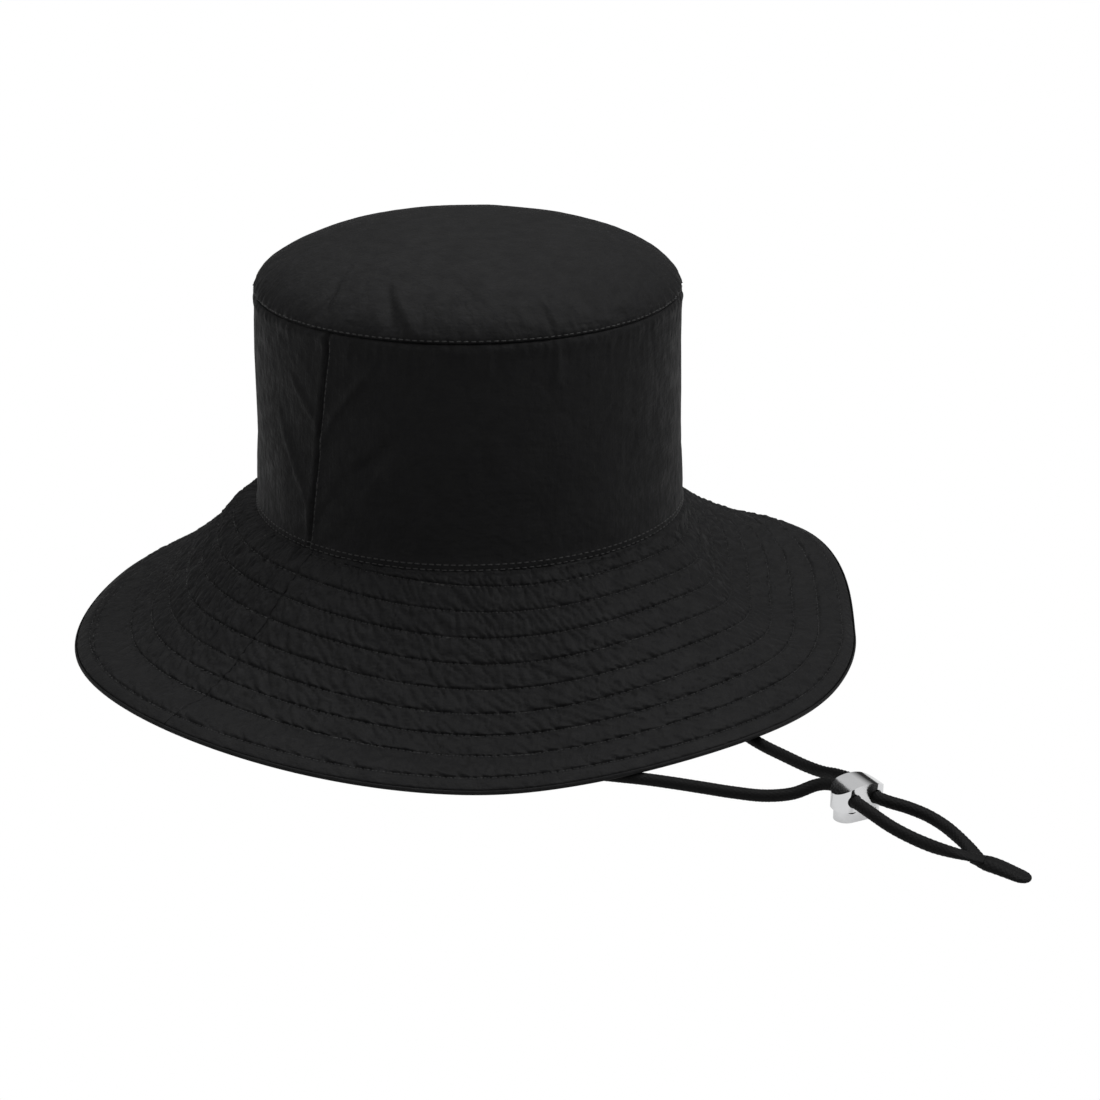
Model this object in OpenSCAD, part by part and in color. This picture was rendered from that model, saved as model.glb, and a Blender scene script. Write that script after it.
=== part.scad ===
// Bucket hat with a wide sloping brim, a chin cord and a two-hole cord lock.
// Millimetres, +Z up. The hat stands on the rim of its brim at z = 0. Its front
// faces -Y, the wearer's left is +X, and the two side seams lie over the X axis.

/* [Crown] */
// Outer radius of the crown at the brim seam
crown_base_r = 93; // [88:0.5:98]
// Outer radius of the crown at the tip seam
crown_top_r = 91; // [86:0.5:96]
// Height of the brim seam above the standing surface
crown_base_z = 62; // [58:0.5:66]
// Height of the crown side from the brim seam to the tip seam
crown_side_h = 96.5; // [85:0.5:105]
// Rise of the domed tip above its seam
tip_rise = 28; // [20:1:34]

/* [Brim] */
// Length of the brim down its slope, from the seam to the rim
brim_len = 99; // [95:0.5:102]
// Lift of the rim where the back left of the brim flares
flare_lift = 12.5; // [0:0.5:16]
// Lift of the rim on the right side
side_lift = 11; // [0:0.5:12]
// Lift of the rim where the brim lies over the two runs of cord
cord_lift = 6; // [5.5:0.5:8]
// Lift of the rim at the back
back_lift = 3.5; // [0:0.5:8]

/* [Cloth] */
// Thickness of the outer cloth
cloth_t = 0.5; // [0.4:0.1:0.6]
// Thickness of the lining cloth
lining_t = 0.4; // [0.3:0.1:0.5]
// Thickness of the stiffening interlining in the brim
interlining_t = 1.2; // [0.8:0.1:1.5]
// Height of the sweatband
sweatband_h = 32; // [25:1:38]
// Thickness of the folded sweatband
sweatband_t = 0.9; // [0.6:0.1:1.2]

/* [Cord] */
// Diameter of the braided cord
cord_d = 5; // [4.6:0.1:5.2]

/* [Cord lock] */
// Thickness of the lock's shell, along the cord
lock_t = 12; // [11.5:0.1:12.5]
// Distance between the two cord holes
hole_pitch = 9.5; // [9.4:0.1:9.8]
// Diameter of the cord holes
hole_d = 5.6; // [5.5:0.1:5.8]
// Height of the lock's shell
shell_h = 10.5; // [10.2:0.1:11]
// Height of the plunger that shows below the shell
plunger_show = 5; // [5:0.1:5.4]
// Travel of the plunger when it is pressed
plunger_travel = 3; // [2.5:0.1:3]

/* [Hidden] */

black_cloth = [0.11, 0.11, 0.12];
black_lining = [0.16, 0.16, 0.17];
stiffener_grey = [0.75, 0.75, 0.72];
label_white = [0.9, 0.9, 0.88];
cord_black = [0.07, 0.07, 0.08];
chrome = [0.82, 0.83, 0.85];
spring_steel = [0.6, 0.61, 0.63];

$fn = 96;
ply_gap = 0.1;
lining_gap = 0.6;
seam_half_angle = 0.05;
tip_seam_z = crown_base_z + crown_side_h;

// Two halves meet at the side seams: the front half runs round -Y.
FRONT = 180;
BACK = 0;

// ---- revolved cloth: crown, lining and sweatband ----

// A ring of cloth, or half of one, between two radii at two heights.
module cone_ply(r_low, r_high, z_low, z_high, t, start, sweep) {
    rotate([0, 0, start])
        rotate_extrude(angle = sweep)
            polygon([[r_low - t, z_low], [r_low, z_low], [r_high, z_high], [r_high - t, z_high]]);
}

module half_cone_ply(r_low, r_high, z_low, z_high, t, half) {
    cone_ply(r_low, r_high, z_low, z_high, t, half + seam_half_angle, 180 - 2 * seam_half_angle);
}

// Profile of an elliptical dome, from its edge to its top.
function dome_profile(r, rise, z, steps = 14) =
    [for (i = [0:steps]) let (a = 90 * i / steps) [r * cos(a), z + rise * sin(a)]];

module dome_ply(r, rise, z, t) {
    outer = dome_profile(r, rise, z);
    inner = dome_profile(r - t, rise - t, z);
    last = len(inner) - 1;
    rotate_extrude()
        polygon(concat(outer, [for (i = [last:-1:0]) inner[i]]));
}

crown_seam_drop = 1;
lining_r_inset = cloth_t + lining_gap;
lining_base_r = crown_base_r - lining_r_inset;
lining_top_r = crown_top_r - lining_r_inset;
lining_tip_z = tip_seam_z - 2;
sweatband_r = lining_base_r - lining_t - 2 * ply_gap;
lining_h = lining_tip_z - crown_base_z + crown_seam_drop;
sweatband_top_r = sweatband_r - (lining_base_r - lining_top_r) * sweatband_h / lining_h;

module crown_tip() {
    color(black_cloth)
        dome_ply(crown_top_r, tip_rise, tip_seam_z + ply_gap, cloth_t);
}

module crown_side(half) {
    color(black_cloth)
        half_cone_ply(crown_base_r, crown_top_r, crown_base_z - crown_seam_drop, tip_seam_z, cloth_t, half);
}

module crown_side_front() {
    crown_side(FRONT);
}

module crown_side_back() {
    crown_side(BACK);
}

module lining_tip() {
    color(black_lining)
        dome_ply(lining_top_r, tip_rise - 2, lining_tip_z + ply_gap, lining_t);
}

module lining_side(half) {
    color(black_lining)
        half_cone_ply(lining_base_r, lining_top_r, crown_base_z - crown_seam_drop, lining_tip_z, lining_t, half);
}

module lining_side_front() {
    lining_side(FRONT);
}

module lining_side_back() {
    lining_side(BACK);
}

module sweatband() {
    color(black_lining)
        cone_ply(sweatband_r, sweatband_top_r, crown_base_z - crown_seam_drop,
                 crown_base_z - crown_seam_drop + sweatband_h, sweatband_t, 0, 360);
}

label_w = 22;
label_h = 30;
label_t = 0.4;
label_y = 87.6;

// A blank care label, sewn to the lining above the sweatband at the back.
module care_label() {
    color(label_white)
        translate([-label_w / 2, label_y, crown_base_z + sweatband_h + 2])
            cube([label_w, label_t, label_h]);
}

// ---- brim ----

// Each lift of the rim: direction, half width in degrees, height.
RIM_LIFTS = [
    [-20, 32, flare_lift],
    [174, 59, side_lift],
    [110, 42, back_lift],
    [-102, 36, cord_lift]
];

function turn_between(a, b) = abs((a - b + 540) % 360 - 180);
function bump(a, centre, half, high) =
    turn_between(a, centre) < half ? high * (1 + cos(180 * turn_between(a, centre) / half)) / 2 : 0;
function sum(v, i = 0) = i < len(v) ? v[i] + sum(v, i + 1) : 0;
function rim_z(a) = sum([for (lift = RIM_LIFTS) bump(a, lift[0], lift[1], lift[2])]);
function brim_slope(a) = asin((crown_base_z - rim_z(a)) / brim_len);

brim_root_r = crown_base_r + 2 * ply_gap;
brim_step = 5;

// A point of the brim: s down the slope, n out of the underside.
function brim_point(a, s, n) =
    let (slope = brim_slope(a))
    let (r = brim_root_r + s * cos(slope) + n * sin(slope))
    [r * cos(a), r * sin(a), crown_base_z - s * sin(slope) + n * cos(slope)];

function brim_ring(a, n_low, n_high) = [
    brim_point(a, 0, n_low), brim_point(a, brim_len, n_low),
    brim_point(a, brim_len, n_high), brim_point(a, 0, n_high)
];

// Triangles that join ring k of four points to the next ring. The two broad
// sides are cut along the same diagonal, so that plies lie on each other evenly.
function ring_side(k, i) =
    let (a = 4 * k + i, b = 4 * k + (i + 1) % 4)
    i == 2 ? [[a, b, a + 4], [b, b + 4, a + 4]] : [[a, b, b + 4], [a, b + 4, a + 4]];

module brim_ply(half, n_low, n_high) {
    count = (180 - 2 * brim_step) / brim_step + 2;
    first = half + seam_half_angle;
    sweep = 180 - 2 * seam_half_angle;
    rings = [for (k = [0:count]) brim_ring(first + sweep * k / count, n_low, n_high)];
    last = 4 * count;
    polyhedron(
        points = [for (ring = rings) for (p = ring) p],
        faces = concat(
            [for (k = [0:count - 1]) for (i = [0:3]) for (tri = ring_side(k, i)) tri],
            [[0, 2, 1], [0, 3, 2]],
            [[last, last + 1, last + 2], [last, last + 2, last + 3]]
        ),
        convexity = 6
    );
}

interlining_n = cloth_t + ply_gap;
brim_top_n = interlining_n + interlining_t + ply_gap;

module brim_top_front() {
    color(black_cloth) brim_ply(FRONT, brim_top_n, brim_top_n + cloth_t);
}

module brim_top_back() {
    color(black_cloth) brim_ply(BACK, brim_top_n, brim_top_n + cloth_t);
}

module brim_interlining_front() {
    color(stiffener_grey) brim_ply(FRONT, interlining_n, interlining_n + interlining_t);
}

module brim_interlining_back() {
    color(stiffener_grey) brim_ply(BACK, interlining_n, interlining_n + interlining_t);
}

module brim_under_front() {
    color(black_cloth) brim_ply(FRONT, 0, cloth_t);
}

module brim_under_back() {
    color(black_cloth) brim_ply(BACK, 0, cloth_t);
}

// ---- cord tabs ----

tab_w = 11;
tab_t = 6.4;
tab_h = 18;
tab_x = 87;
tab_top_z = crown_base_z - crown_seam_drop - 2 * ply_gap;
tab_z = tab_top_z - tab_h;

// A slot-shaped outline, long along X.
module slot_outline(w, t) {
    square([w - t, t], center = true);
    for (side = [-1, 1])
        translate([side * (w - t) / 2, 0])
            circle(d = t);
}

// A folded strap, sewn into the brim seam, that holds the end of the cord.
module cord_tab(side) {
    color(black_cloth)
        translate([side * tab_x, 0, tab_z])
            rotate([0, 0, 90])
                linear_extrude(height = tab_h)
                    slot_outline(tab_w, tab_t);
}

module cord_tab_left() {
    cord_tab(1);
}

module cord_tab_right() {
    cord_tab(-1);
}

// ---- chin cord ----

flat_h = 1.3;
flat_w = 3.1;
cord_r = cord_d / 2;

// The lock stands upright on its plunger; the holes run along this heading.
lock_pos = [-36, -237];
lock_heading = -111;
lock_along = [cos(lock_heading), sin(lock_heading)];
lock_across = [-sin(lock_heading), cos(lock_heading)];
hole_z = 9.5;

// A point of a cord inside the lock: side -1 is the right cord, t runs along.
function in_lock(side, t) =
    let (p = lock_pos + side * hole_pitch / 2 * lock_across + t * lock_along)
    [p[0], p[1], hole_z, cord_r];

// Routes of the two cords: x, y, z of the centre, then the half height.
RIGHT_ROUTE = concat([
    [-87, 0, tab_z, cord_r], [-87, -1, 32, cord_r], [-87, -4, 21.5, cord_r],
    [-87, -10, 12, cord_r], [-87.5, -19, 6, cord_r], [-88.5, -31, 3, cord_r],
    [-90, -44, 2.5, cord_r], [-92, -58, 2.5, cord_r], [-94, -72, 2.5, cord_r],
    [-95, -86, 2.5, cord_r], [-94.5, -100, 2.5, cord_r], [-92, -113, 2.5, cord_r],
    [-87.5, -126, 2.5, cord_r], [-82, -138, 2.5, cord_r], [-76, -149, 2.5, cord_r],
    [-70, -160, 2.5, cord_r], [-65, -171, 2.5, cord_r], [-60.5, -182, 2.5, cord_r],
    [-56, -193, 2.5, cord_r], [-50.5, -204, 2.7, cord_r], [-44.5, -213, 4.4, cord_r],
    [-39.8, -219, 7.4, cord_r]
], [in_lock(-1, -10.4), in_lock(-1, 7)], [
    [-44.6, -250, 8.4, cord_r], [-44, -258.5, 5.6, cord_r], [-42.6, -267, 3.4, cord_r],
    [-42.6, -276.5, 3, cord_r], [-43.2, -285.5, 3.9, 2], [-42.2, -292.5, 4.2, flat_h],
    [-40.6, -298, 4.1, flat_h]
]);

LEFT_ROUTE = concat([
    [87, 0, tab_z, cord_r], [87, -1, 32, cord_r], [87, -4, 21.5, cord_r],
    [86, -10, 12, cord_r], [84, -18.5, 6, cord_r], [80.5, -29, 3, cord_r],
    [76, -41, 2.5, cord_r], [71, -53, 2.5, cord_r], [65, -66, 2.5, cord_r],
    [58, -78.5, 2.5, cord_r], [50, -90.5, 2.5, cord_r], [41, -101.5, 2.5, cord_r],
    [31, -112, 2.5, cord_r], [20.5, -122, 2.5, cord_r], [10.5, -132, 2.5, cord_r],
    [1.5, -142, 2.5, cord_r], [-5.5, -152.5, 2.5, cord_r], [-11, -164, 2.5, cord_r],
    [-14.5, -176, 2.5, cord_r], [-16.5, -188, 2.5, cord_r], [-18.5, -200, 2.7, cord_r],
    [-21, -210, 4.2, cord_r], [-24, -219, 7, cord_r]
], [in_lock(1, -10.4), in_lock(1, 6.5)], [
    [-33.6, -250.2, 9.2, cord_r], [-30.4, -256.5, 7.8, cord_r], [-27.2, -263, 5.6, cord_r],
    [-26.4, -270, 3.6, cord_r], [-28.6, -277.5, 2.5, cord_r], [-32.2, -285, 1.9, 1.8],
    [-36.4, -292, 1.4, flat_h], [-39.2, -298, 1.35, flat_h]
]);

cord_sides = 10;

function unit(v) = v / norm(v);
function centre(p) = [p[0], p[1], p[2]];
function heading(route, i) =
    unit(centre(route[min(i + 1, len(route) - 1)]) - centre(route[max(i - 1, 0)]));

// Half width of the cord where it has the given half height.
function half_width(h) = cord_r + (flat_w - cord_r) * (cord_r - h) / (cord_r - flat_h);

// Sideways direction: level, and steady where the cord hangs straight down.
function sideways(d) = unit(cross(d, [0.02, 0.02, 1]));

function cord_ring(route, i) =
    let (d = heading(route, i))
    let (side = sideways(d))
    let (up = cross(side, d))
    [for (j = [0:cord_sides - 1])
        let (a = 360 * (j + 0.5) / cord_sides)
        centre(route[i]) + half_width(route[i][3]) * cos(a) * side + route[i][3] * sin(a) * up];

function tube_side(k, j) =
    let (a = cord_sides * k + j, b = cord_sides * k + (j + 1) % cord_sides)
    [[a, b + cord_sides, b], [a, a + cord_sides, b + cord_sides]];

module cord_tube(route) {
    count = len(route);
    last = cord_sides * (count - 1);
    color(cord_black)
        polyhedron(
            points = [for (i = [0:count - 1]) for (p = cord_ring(route, i)) p],
            faces = concat(
                [for (k = [0:count - 2]) for (j = [0:cord_sides - 1]) for (tri = tube_side(k, j)) tri],
                [[for (j = [0:cord_sides - 1]) j]],
                [[for (j = [cord_sides - 1:-1:0]) last + j]]
            ),
            convexity = 10
        );
}

module chin_cord_left() {
    cord_tube(LEFT_ROUTE);
}

module chin_cord_right() {
    cord_tube(RIGHT_ROUTE);
}

end_w = 6.6;
end_len = 18;
end_h = 5.4;
end_pos = [-39.9, -298.3];
end_heading = -87;

// The two cord ends, pressed flat and sewn together one on the other.
module cord_end() {
    color(cord_black)
        translate([end_pos[0], end_pos[1], 0])
            rotate([0, 0, end_heading])
                linear_extrude(height = end_h) {
                    translate([0, -end_w / 2])
                        square([end_len - end_w / 2, end_w]);
                    translate([end_len - end_w / 2, 0])
                        circle(d = end_w);
                }
}

// ---- cord lock ----

shell_wall = 1;
shell_w = hole_pitch + lock_t;
plunger_clear = 0.3;
plunger_t = lock_t - 2 * shell_wall - 2 * plunger_clear;
plunger_w = shell_w - 2 * shell_wall - 2 * plunger_clear;
shell_top_z = plunger_show + shell_h;
cavity_top_z = shell_top_z - shell_wall;
plunger_top_z = cavity_top_z - plunger_travel - 0.2;
dome_r = 17;
slot_top_z = hole_z + cord_r + 0.15;
slot_bottom_z = hole_z - hole_d / 2 - plunger_travel;
spring_pocket_r = 1.6;
spring_pocket_z = 3.5;

module in_lock_frame() {
    translate([lock_pos[0], lock_pos[1], 0])
        rotate([0, 0, lock_heading + 90])
            children();
}

module lock_prism(w, t, z_low, z_high) {
    translate([0, 0, z_low])
        linear_extrude(height = z_high - z_low)
            slot_outline(w, t);
}

module cross_hole(x, z, d) {
    translate([x, 0, z])
        rotate([90, 0, 0])
            cylinder(d = d, h = 2 * lock_t, center = true);
}

// The outer shell: a slot-shaped cup with a rounded top and two cross holes.
module lock_shell() {
    color(chrome)
        in_lock_frame()
            difference() {
                intersection() {
                    lock_prism(shell_w, lock_t, plunger_show, shell_top_z);
                    translate([0, 0, shell_top_z - dome_r])
                        rotate([90, 0, 0])
                            cylinder(r = dome_r, h = 2 * lock_t, center = true);
                }
                intersection() {
                    lock_prism(shell_w - 2 * shell_wall, lock_t - 2 * shell_wall,
                               plunger_show - 1, cavity_top_z);
                    translate([0, 0, shell_top_z - dome_r])
                        rotate([90, 0, 0])
                            cylinder(r = dome_r - shell_wall, h = 2 * lock_t, center = true);
                }
                for (side = [-1, 1])
                    cross_hole(side * hole_pitch / 2, hole_z, hole_d);
            }
}

// The plunger: its slots are long enough to let it rise past the cords.
module lock_plunger() {
    color(chrome)
        in_lock_frame()
            difference() {
                intersection() {
                    lock_prism(plunger_w, plunger_t, 0, plunger_top_z);
                    translate([0, 0, plunger_top_z + 1 - dome_r])
                        rotate([90, 0, 0])
                            cylinder(r = dome_r - 1, h = 2 * lock_t, center = true);
                }
                for (side = [-1, 1]) {
                    x = side * hole_pitch / 2;
                    cross_hole(x, slot_top_z - hole_d / 2, hole_d);
                    cross_hole(x, slot_bottom_z + hole_d / 2, hole_d);
                    translate([x - hole_d / 2, -lock_t, slot_bottom_z + hole_d / 2])
                        cube([hole_d, 2 * lock_t, slot_top_z - slot_bottom_z - hole_d]);
                }
                translate([0, 0, spring_pocket_z])
                    cylinder(r = spring_pocket_r, h = shell_top_z);
            }
}

spring_r = 1.2;
spring_wire_r = 0.22;
spring_turns = 7;
spring_ring_steps = 12;
spring_sides = 6;
spring_low_z = spring_pocket_z + spring_wire_r + 0.05;
spring_high_z = cavity_top_z - spring_wire_r - 0.1;

function spring_point(i) =
    let (n = spring_turns * spring_ring_steps)
    let (a = 360 * i / spring_ring_steps)
    [spring_r * cos(a), spring_r * sin(a), spring_low_z + (spring_high_z - spring_low_z) * i / n];

function spring_ring(i) =
    let (a = 360 * i / spring_ring_steps)
    let (out = [cos(a), sin(a), 0])
    [for (j = [0:spring_sides - 1])
        let (b = 360 * j / spring_sides)
        spring_point(i) + spring_wire_r * (cos(b) * out + sin(b) * [0, 0, 1])];

function spring_side(k, j) =
    let (a = spring_sides * k + j, b = spring_sides * k + (j + 1) % spring_sides)
    [[a, b + spring_sides, b], [a, a + spring_sides, b + spring_sides]];

// The coil spring that pushes the plunger out of the shell.
module lock_spring() {
    count = spring_turns * spring_ring_steps;
    last = spring_sides * count;
    color(spring_steel)
        in_lock_frame()
            polyhedron(
                points = [for (i = [0:count]) for (p = spring_ring(i)) p],
                faces = concat(
                    [for (k = [0:count - 1]) for (j = [0:spring_sides - 1]) for (tri = spring_side(k, j)) tri],
                    [[for (j = [0:spring_sides - 1]) j]],
                    [[for (j = [spring_sides - 1:-1:0]) last + j]]
                ),
                convexity = 10
            );
}

crown_tip();
crown_side_front();
crown_side_back();
brim_top_front();
brim_top_back();
brim_interlining_front();
brim_interlining_back();
brim_under_front();
brim_under_back();
lining_tip();
lining_side_front();
lining_side_back();
sweatband();
care_label();
cord_tab_left();
cord_tab_right();
chin_cord_left();
chin_cord_right();
cord_end();
lock_shell();
lock_plunger();
lock_spring();
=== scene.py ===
"""Bucket hat with a chin cord and a cord lock: the looks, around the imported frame.

Shapes are worked out in millimetres and degrees, and turned into metres when a
mesh is made. Directions run anticlockwise from +X seen from above; the front of
the hat is -Y, and the side seams are at 0 and 180 degrees.
"""

import bpy
import numpy as np
from mathutils import Matrix, Vector


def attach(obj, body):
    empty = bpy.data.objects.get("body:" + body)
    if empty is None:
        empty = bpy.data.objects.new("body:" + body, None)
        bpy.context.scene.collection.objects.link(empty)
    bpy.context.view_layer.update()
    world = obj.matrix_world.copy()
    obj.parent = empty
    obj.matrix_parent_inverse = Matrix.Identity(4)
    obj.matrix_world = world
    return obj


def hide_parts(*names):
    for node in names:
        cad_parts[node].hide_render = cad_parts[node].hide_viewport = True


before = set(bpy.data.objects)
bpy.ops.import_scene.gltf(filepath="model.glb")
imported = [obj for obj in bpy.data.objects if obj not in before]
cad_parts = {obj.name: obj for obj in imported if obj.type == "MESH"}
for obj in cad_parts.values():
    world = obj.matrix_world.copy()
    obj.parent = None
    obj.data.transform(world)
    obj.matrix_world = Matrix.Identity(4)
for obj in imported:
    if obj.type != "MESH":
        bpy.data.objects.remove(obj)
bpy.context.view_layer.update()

MM = 0.001

# ---- sizes, as in the CAD model ----

CROWN_BASE_R, CROWN_TOP_R = 93.0, 91.0
CROWN_BASE_Z, TIP_SEAM_Z = 62.0, 158.5
TIP_RISE = 28.0
BRIM_ROOT_R, BRIM_LEN = 93.2, 99.0
RIM_LIFTS = ((-20, 32, 12.5), (174, 59, 11.0), (110, 42, 3.5), (-102, 36, 6.0))
# Sways of the brim off a straight slope: direction and half width, then place
# down the slope and reach, then height.
BRIM_SWAYS = (
    (124, 32, 9, 26, 2.0), (146, 64, 62, 56, -10.0), (219, 66, 55, 68, -10.0),
    (312, 46, 43, 67, -11.0), (325, 62, 46, 65, -7.0),
)
# The sways fade in and out over these stretches of the slope.
SWAY_ROOT, SWAY_RIM = (0, 5), (75, 97)
LINING_T = 0.4
# Thicknesses of the cloth as it is drawn.
BRIM_CLOTH_T, CROWN_CLOTH_T, LINING_CLOTH_T = 0.3, 0.4, 0.24
STIFFENER_T, BAND_CLOTH_T, LABEL_T = 0.5, 0.35, 0.25
BRIM_TOP_N = 2.4
LINING_BASE_R, LINING_TOP_R = 91.9, 89.9
LINING_TIP_Z, LINING_RISE = 156.5, 26.0
STIFFENER_S, STIFFENER_N = (3, 95), 1.1
SWEATBAND_H, SWEATBAND_T = 32.0, 0.9
SWEATBAND_ROWS = (4.0, 28.5)
LABEL_Y, LABEL_HALF_W, LABEL_Z, LABEL_TOP_Z = 87.85, 11, 96, 126
# Where each half of the brim and of the crown's side starts.
FRONT, BACK = 180, 0
HALVES = ((FRONT, "front"), (BACK, "back"))

# Half sizes of a cord: round, then how high and wide it is where it is pressed flat.
CORD_R, FLAT_H, FLAT_W = 2.5, 1.3, 3.1
TAB_X, TAB_Z, TAB_H, TAB_W, TAB_T = 87.0, 42.8, 18.0, 11.0, 6.4
LOCK_POS = np.array([-36.0, -237.0])
LOCK_HEADING = np.radians(-111)
LOCK_ALONG = np.array([np.cos(LOCK_HEADING), np.sin(LOCK_HEADING)])
LOCK_ACROSS = np.array([-LOCK_ALONG[1], LOCK_ALONG[0]])
HOLE_PITCH, HOLE_Z = 9.5, 9.5
# How far the lock's sharp edges are rounded.
SHELL_ROUND, PLUNGER_ROUND = 0.9, 0.15
END_POS, END_HEADING = np.array([-39.9, -298.3]), -87
END_START, END_LENGTH, END_MID_Z = -6.0, 24.0, 2.75

# ---- seams and stitching ----

STITCH_PITCH, STITCH_COVER = 3.0, 0.78
THREAD_R, THREAD_SIDES, THREAD_LIFT = 0.26, 6, 0.1
PATH_STEPS = 6000
# Rows on the crown: heights above its base, the place of the row beside each side
# seam in degrees and its two ends, and the place of the row on the tip.
BASE_ROWS = (2.2, 4.4)
SIDE_ROW_TURN, SIDE_ROW_Z = 1.1, (64, 156)
TIP_ROW_Q = 0.028
RING_S = 91.5
# The spiral: where it starts, how far one turn moves down the slope, the share of
# that made just past the right-hand seam, and how much closer its outer turns are.
SPIRAL_START_S, SPIRAL_PITCH = 1.3, 10.8
SEAM_STEP, SEAM_STEP_TURN = 4.0, 0.18
OUTER_TURN, OUTER_PULL = 5.1, 0.7
# The last turn runs out onto the ring just before that seam.
MERGE_TURNS, MERGE_STEP = (7.75, 7.97), 6.0
SPIRAL_TURNS, SPIRAL_ROWS = 7.98, 8
RING_V = SPIRAL_ROWS + 1
RIM_ROLL = 1.2
# How high the quilted top cloth puffs and how deep a row and its needle holes dip,
# then how proud the stitches stand on either side of the brim.
PUFF, ROW_DIP, HOLE_DIP = 0.42, 0.5, 0.6
TOP_THREAD_LIFT, UNDER_THREAD_LIFT = 0.3, 0.05


# ---- small tools ----

class Noise:
    """Smooth seeded noise, about -1 to 1, on arrays of points."""

    def __init__(self, seed):
        rng = np.random.default_rng(seed)
        self.order = rng.permutation(256)
        slopes = rng.normal(size=(256, 3))
        self.slopes = slopes / np.linalg.norm(slopes, axis=1)[:, None]

    def __call__(self, x, y, z=0.0):
        point = np.broadcast_arrays(x, y, z)
        cell = [np.floor(c).astype(int) for c in point]
        part = [c - k for c, k in zip(point, cell)]
        fade = [t * t * t * (t * (t * 6 - 15) + 10) for t in part]
        total = np.zeros(point[0].shape)
        for corner in np.ndindex(2, 2, 2):
            index = 0
            weight = 1.0
            for axis in range(3):
                index = self.order[(index + cell[axis] + corner[axis]) & 255]
                weight = weight * (fade[axis] if corner[axis] else 1 - fade[axis])
            slope = self.slopes[index]
            total += weight * sum(slope[..., k] * (part[k] - corner[k]) for k in range(3))
        return total * 1.6


def ridged(value):
    """Turn smooth noise into sharp creases: 1 on a crease, 0 between."""
    return (1 - np.minimum(np.abs(value) * 2.2, 1)) ** 2


def turn_between(a, b):
    """The smaller angle between two directions, in degrees."""
    return np.abs((a - b + 540) % 360 - 180)


def smooth_step(x, low, high):
    t = np.clip((x - low) / (high - low), 0, 1)
    return t * t * (3 - 2 * t)


def on_circle(theta, r, z):
    angle = np.radians(theta)
    return np.stack([r * np.cos(angle), r * np.sin(angle), z + 0 * angle], axis=-1)


# ---- the pieces' list ----

PIECES = bpy.data.collections.new("pieces")
bpy.context.scene.collection.children.link(PIECES)


def add_object(name, mesh, material, replaces=()):
    """One piece of the hat's body, which may take the place of CAD nodes."""
    obj = bpy.data.objects.new(name, mesh)
    PIECES.objects.link(obj)
    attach(obj, "hat")
    if replaces:
        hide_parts(*replaces)
    mesh.materials.append(material)
    return obj


def mesh_of(name, points, faces):
    mesh = bpy.data.meshes.new(name)
    mesh.from_pydata((np.asarray(points) * MM).tolist(), [], faces)
    mesh.polygons.foreach_set("use_smooth", np.ones(len(mesh.polygons), bool))
    mesh.update()
    return mesh


def grid_faces(rows, cols, wrap=False, flip=False):
    """Quads of a grid whose points are listed row by row."""
    i = np.arange(rows - 1)[:, None]
    j = np.arange(cols if wrap else cols - 1)[None, :]
    k = (j + 1) % cols
    corners = (i * cols + j, i * cols + k, (i + 1) * cols + k, (i + 1) * cols + j)
    quads = np.stack(np.broadcast_arrays(*corners), -1).reshape(-1, 4)
    return (quads[:, ::-1] if flip else quads).tolist()


def tube_faces(rows, sides, flip=True):
    """Faces of a tube through rings of points, closed at both ends."""
    first = list(range(sides))
    last = [(rows - 1) * sides + k for k in first]
    ends = [first, last[::-1]] if flip else [first[::-1], last]
    return grid_faces(rows, sides, wrap=True, flip=flip) + ends


def sheet_mesh(name, surface, across, down, wrap=False, flip=False, pole=None):
    """A mesh of surface(theta, v) over two lists of values, closed at a pole if given."""
    theta, v = np.meshgrid(across, down)
    points = surface(theta, v).reshape(-1, 3)
    faces = grid_faces(len(down), len(across), wrap, flip)
    if pole is not None:
        points = np.vstack([points, pole])
        last = (len(down) - 1) * len(across)
        for j in range(len(across)):
            tri = [last + j, last + (j + 1) % len(across), len(points) - 1]
            faces.append(tri[::-1] if flip else tri)
    return mesh_of(name, points, faces)


def thicken(obj, thickness):
    """Give a sheet its thickness, away from the side that its normals show."""
    solid = obj.modifiers.new("cloth thickness", "SOLIDIFY")
    solid.thickness = thickness * MM
    solid.offset = -1


def soften_edges(obj, radius):
    """Round the sharp edges of a cast piece."""
    bevel = obj.modifiers.new("rounded edges", "BEVEL")
    bevel.width = radius * MM
    bevel.segments = 4
    bevel.limit_method = "ANGLE"
    bevel.angle_limit = np.radians(35)
    bevel.harden_normals = True


def half_angles(half, step=0.5):
    """Directions over one half, close together beside the two seams."""
    near = np.array([0.005, 0.15, 0.3, 0.5, 0.75, 1.0, 1.3, 1.6])
    middle = np.arange(2, 178 + step / 2, step)
    return half + np.concatenate([near, middle, 180 - near[::-1]])


def seam_dip(theta, r, width=0.8):
    """1 on a side seam, falling to 0 about two widths away, with a raised allowance beside it."""
    gap = np.minimum(turn_between(theta, 0), turn_between(theta, 180))
    away = np.radians(gap) * r
    return np.exp(-((away / width) ** 2)) - 0.35 * np.exp(-(((away - 2.2) / 1.2) ** 2))


# ---- brim ----

fine_noise = Noise(3)
fold_noise = Noise(5)
sway_noise = Noise(8)


def rim_z(theta):
    """How high the rim is lifted off the surface."""
    total = 0.0
    for centre, half, high in RIM_LIFTS:
        away = np.minimum(turn_between(theta, centre) / half, 1)
        total = total + high * (1 + np.cos(np.pi * away)) / 2
    return total


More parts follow.
